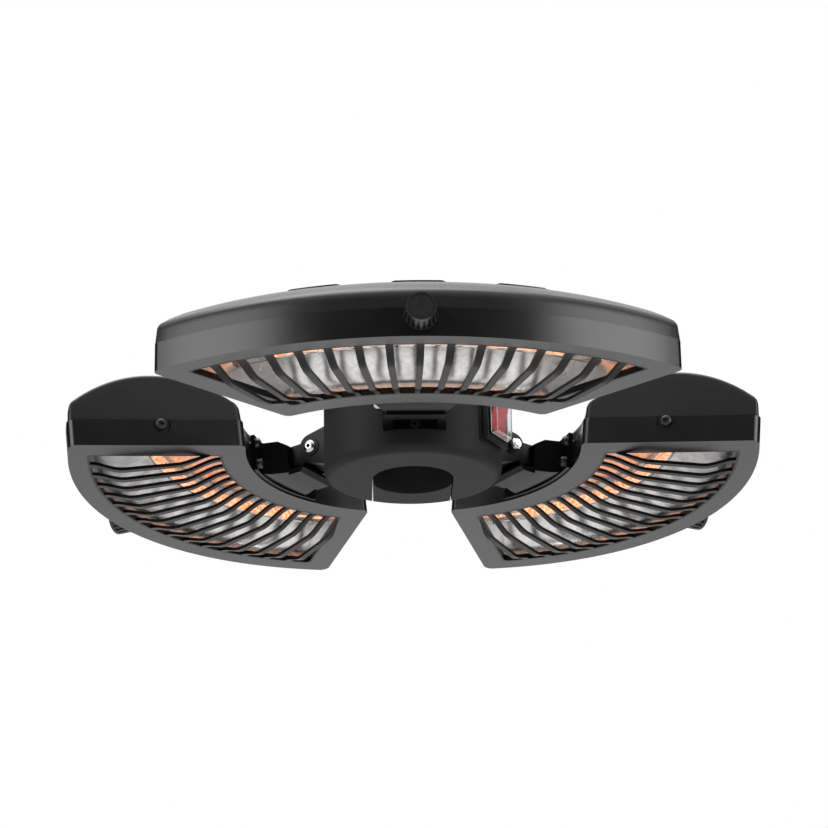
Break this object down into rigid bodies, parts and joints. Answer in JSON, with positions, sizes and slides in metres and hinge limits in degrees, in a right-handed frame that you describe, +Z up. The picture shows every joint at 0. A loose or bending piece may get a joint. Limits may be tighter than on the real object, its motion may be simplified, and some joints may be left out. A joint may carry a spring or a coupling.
{
  "type": "patio_heater",
  "caption": "Infrared patio heater for a parasol pole: a round hub with a clamp jaw carries three curved heads that tilt, each with a guarded lamp and a knob",
  "frame": {"origin": "on the pole's axis at the hub's underside", "axes": "+Z up along the pole, -Y out to the front head, +Y to the clamp jaw"},
  "size_m": [0.5106, 0.5164, 0.1172],
  "materials": {
    "casing": "satin charcoal powder coat with a fine grain",
    "hub_plastic": "moulded charcoal plastic, fine grain",
    "black_plastic": "moulded black plastic, satin",
    "knob_plastic": "moulded dark grey plastic, satin",
    "pale_plastic": "moulded pale plastic",
    "red_plastic": "moulded red plastic, gloss",
    "clear_plastic": "clear moulded plastic",
    "reflector": "polished aluminium sheet, slightly rippled",
    "quartz": "clear quartz",
    "element": "woven carbon strip, glowing",
    "ceramic": "glazed ceramic",
    "spring_steel": "spring steel",
    "zinc_steel": "zinc plated",
    "black_steel": "blackened steel",
    "bright_steel": "bright stainless steel",
    "brass": "turned brass",
    "dark_rubber": "dark grey rubber"
  },
  "bodies": {
    "hub": {"hub_housing": "hub_plastic", "hub_lid": "hub_plastic", "lid_screws": "zinc_steel", "clamp_inserts": "brass", "clamp_studs": "zinc_steel", "cable_gland": "black_plastic", "gland_nut": "black_plastic", "terminal_block": "pale_plastic", "switch_body": "black_plastic", "switch_cover": "clear_plastic", "fork_screws": "zinc_steel", "lead_bushes": "dark_rubber", "hinge_bolts": "bright_steel", "hinge_nuts": "bright_steel", "hinge_fork_front": "black_plastic", "hinge_fork_left": "black_plastic", "hinge_fork_right": "black_plastic"},
    "jaw": {"clamp_jaw": "hub_plastic"},
    "clamp_knob_left": {"clamp_knob_left": "black_plastic"},
    "clamp_knob_right": {"clamp_knob_right": "black_plastic"},
    "rocker": {"switch_rocker": "red_plastic"},
    "head_front": {"head_frame_front": "casing", "head_cover_front": "casing", "head_screws_front": "black_steel", "guard_front": "casing", "reflector_front": "reflector", "lamp_tube_front": "quartz", "lamp_element_front": "element", "lamp_caps_front": "ceramic", "lamp_clips_front": "spring_steel", "bracket_front": "black_plastic", "bracket_screws_front": "zinc_steel", "knob_switch_front": "pale_plastic"},
    "knob_front": {"knob_front": "knob_plastic"},
    "head_left": {"head_frame_left": "casing", "head_cover_left": "casing", "head_screws_left": "black_steel", "guard_left": "casing", "reflector_left": "reflector", "lamp_tube_left": "quartz", "lamp_element_left": "element", "lamp_caps_left": "ceramic", "lamp_clips_left": "spring_steel", "bracket_left": "black_plastic", "bracket_screws_left": "zinc_steel", "knob_switch_left": "pale_plastic"},
    "knob_left": {"knob_left": "knob_plastic"},
    "head_right": {"head_frame_right": "casing", "head_cover_right": "casing", "head_screws_right": "black_steel", "guard_right": "casing", "reflector_right": "reflector", "lamp_tube_right": "quartz", "lamp_element_right": "element", "lamp_caps_right": "ceramic", "lamp_clips_right": "spring_steel", "bracket_right": "black_plastic", "bracket_screws_right": "zinc_steel", "knob_switch_right": "pale_plastic"},
    "knob_right": {"knob_right": "knob_plastic"}
  },
  "joints": [
    {"name": "tilt_front", "type": "hinge", "parent": "hub", "child": "head_front", "pos_m": [0, -0.075, 0.032], "axis": [1, 0, 0], "range_deg": [0, 45]},
    {"name": "tilt_left", "type": "hinge", "parent": "hub", "child": "head_left", "pos_m": [-0.06495, 0.0375, 0.032], "axis": [-0.5, -0.866, 0], "range_deg": [-6.5, 38.5]},
    {"name": "tilt_right", "type": "hinge", "parent": "hub", "child": "head_right", "pos_m": [0.06495, 0.0375, 0.032], "axis": [-0.5, 0.866, 0], "range_deg": [-6.5, 38.5]},
    {"name": "knob_turn_front", "type": "hinge", "parent": "head_front", "child": "knob_front", "pos_m": [0, -0.268, 0.032], "axis": [0, -1, 0], "range_deg": [-90, 0]},
    {"name": "knob_turn_left", "type": "hinge", "parent": "head_left", "child": "knob_left", "pos_m": [-0.23102, 0.13338, 0.01015], "axis": [-0.8605, 0.4968, -0.1132], "range_deg": [-90, 0]},
    {"name": "knob_turn_right", "type": "hinge", "parent": "head_right", "child": "knob_right", "pos_m": [0.23102, 0.13338, 0.01015], "axis": [0.8605, 0.4968, -0.1132], "range_deg": [-90, 0]},
    {"name": "rocker_rock", "type": "hinge", "parent": "hub", "child": "rocker", "pos_m": [0.06166, -0.0356, 0.035], "axis": [0.5, 0.866, 0], "range_deg": [-16, 0]},
    {"name": "jaw_slide", "type": "slide", "parent": "hub", "child": "jaw", "axis": [0, 1, 0], "range_m": [-0.006, 0.008]},
    {"name": "clamp_turn_left", "type": "hinge", "parent": "jaw", "child": "clamp_knob_left", "pos_m": [-0.04, 0.066, 0.067], "axis": [0, 1, 0], "range_deg": [-2160, 2880]},
    {"name": "clamp_turn_right", "type": "hinge", "parent": "jaw", "child": "clamp_knob_right", "pos_m": [0.04, 0.066, 0.067], "axis": [0, 1, 0], "range_deg": [-2160, 2880]}
  ],
  "couplings": [
    {"joint": "clamp_turn_left", "follows": "jaw_slide", "rad_per_m": 6283.2},
    {"joint": "clamp_turn_right", "follows": "jaw_slide", "rad_per_m": 6283.2}
  ]
}
